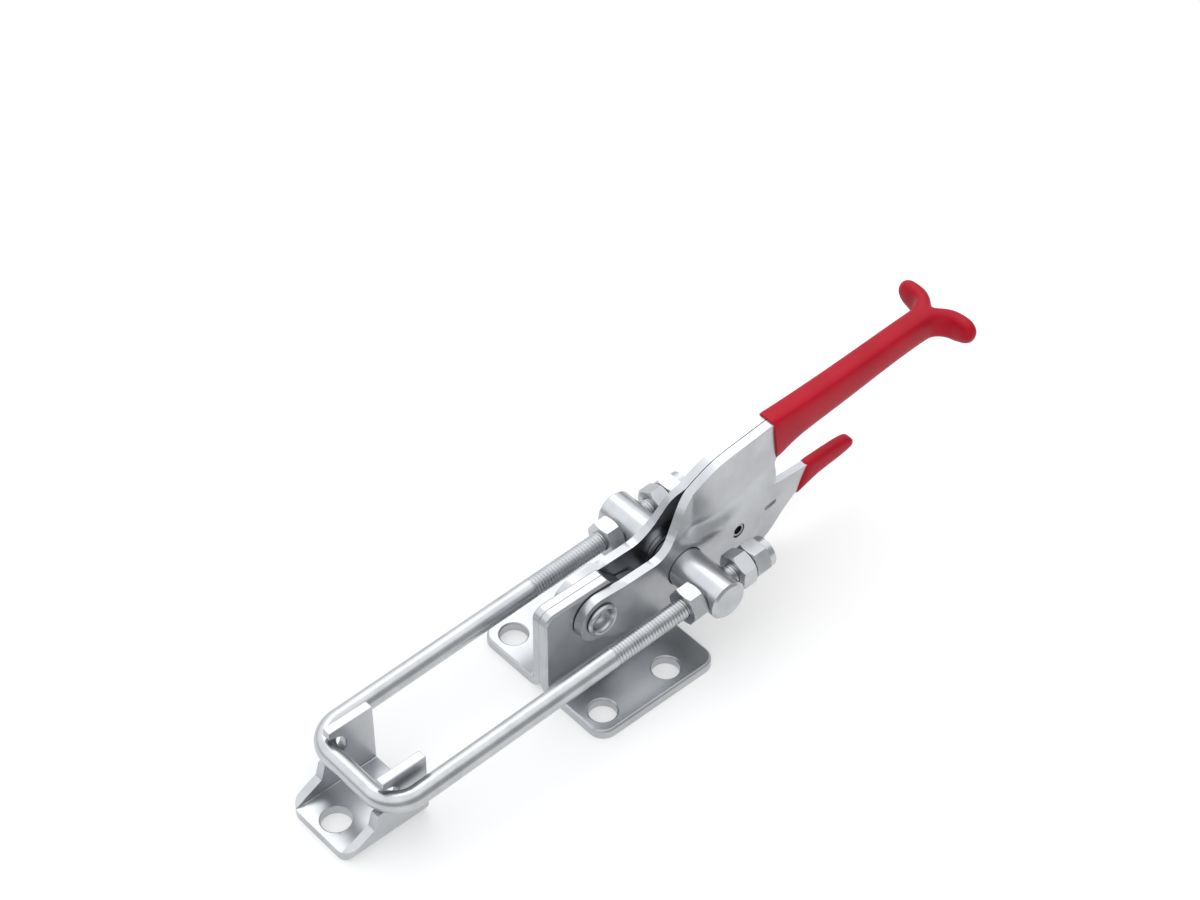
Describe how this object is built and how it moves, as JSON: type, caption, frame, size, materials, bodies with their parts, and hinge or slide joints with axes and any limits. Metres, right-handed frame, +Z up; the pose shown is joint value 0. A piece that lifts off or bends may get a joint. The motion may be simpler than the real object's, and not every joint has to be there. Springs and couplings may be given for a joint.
{
  "type": "panel latch",
  "caption": "Pull-action toggle latch: flanged base, over-centre handle with dipped T grip, sprung release lever, adjustable U-bolt and separate hooked strike plate.",
  "frame": {"origin": "middle of the four base holes, on the underside of the flanges", "axes": "+X along the latch from the strike plate to the handle's end, +Y to the left of that, +Z up from the mounting surface"},
  "size_m": [0.2326, 0.0516, 0.0538],
  "materials": {
    "zinc": "bright zinc plate",
    "dark_steel": "oiled spring steel",
    "red_vinyl": "dipped vinyl, half gloss",
    "insert": "nylon"
  },
  "bodies": {
    "base": {"base_plate_left": "zinc", "base_plate_right": "zinc", "pivot_rivet": "zinc", "strike_plate": "zinc"},
    "handle": {"handle_plate_left": "zinc", "handle_plate_right": "zinc", "handle_grip": "red_vinyl", "lever_pin": "dark_steel", "torsion_spring": "dark_steel"},
    "trunnion": {"trunnion": "zinc", "front_nut_left": "zinc", "front_nut_right": "zinc", "rear_nut_left": "zinc", "rear_nut_right": "zinc", "lock_nut_left": "zinc", "lock_nut_right": "zinc", "lock_insert_left": "insert", "lock_insert_right": "insert"},
    "ubolt": {"u_bolt": "zinc"},
    "lever": {"release_lever": "zinc", "lever_grip": "red_vinyl"}
  },
  "joints": [
    {"name": "handle_lift", "type": "hinge", "parent": "base", "child": "handle", "pos_m": [-0.001, 0, 0.022], "axis": [0, -1, 0], "range_deg": [0, 85]},
    {"name": "trunnion_turn", "type": "hinge", "parent": "handle", "child": "trunnion", "pos_m": [0.0302, 0, 0.0209], "axis": [0, -1, 0], "range_deg": [-65, 0]},
    {"name": "ubolt_adjust", "type": "slide", "parent": "trunnion", "child": "ubolt", "axis": [0.9992, 0, 0.0388], "range_m": [-0.004, 0]},
    {"name": "lever_squeeze", "type": "hinge", "parent": "handle", "child": "lever", "pos_m": [0.052, 0, 0.0192], "axis": [0, -1, 0], "range_deg": [0, 8], "stiffness_Nm_per_rad": 0.3, "springref_deg": -11.46}
  ],
  "couplings": [
    {"joint": "trunnion_turn", "follows": "handle_lift", "ratio": -0.75}
  ]
}
